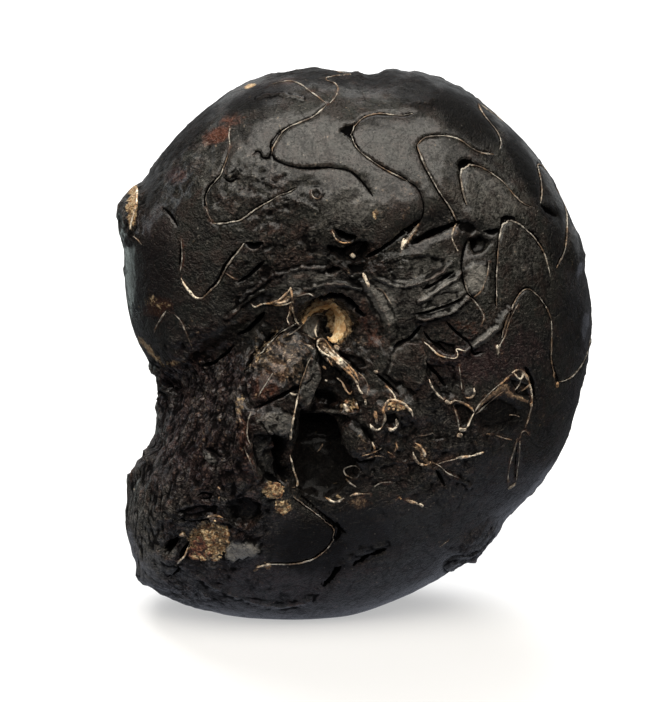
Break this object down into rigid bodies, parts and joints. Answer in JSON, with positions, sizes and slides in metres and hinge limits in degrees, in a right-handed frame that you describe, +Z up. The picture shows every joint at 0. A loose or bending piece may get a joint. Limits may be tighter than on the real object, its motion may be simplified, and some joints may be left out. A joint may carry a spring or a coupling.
{
  "type": "fossil goniatite",
  "caption": "Dark stone mould of a coiled goniatite shell with zigzag suture lines, a broken mouth and ochre crystal pockets, standing on a worn flat of its rim.",
  "frame": {"origin": "centre of the bounding box at its bottom, on the surface that the stone stands on", "axes": "+Z up through the height of the coil, -Y towards the front flank with the umbilicus, +X towards the rounded rim; the coil's axis runs along Y"},
  "size_m": [0.0554, 0.0397, 0.0647],
  "materials": {
    "fossil_stone": "worn satin"
  },
  "bodies": {
    "root": {"goniatite": "fossil_stone"}
  },
  "joints": []
}
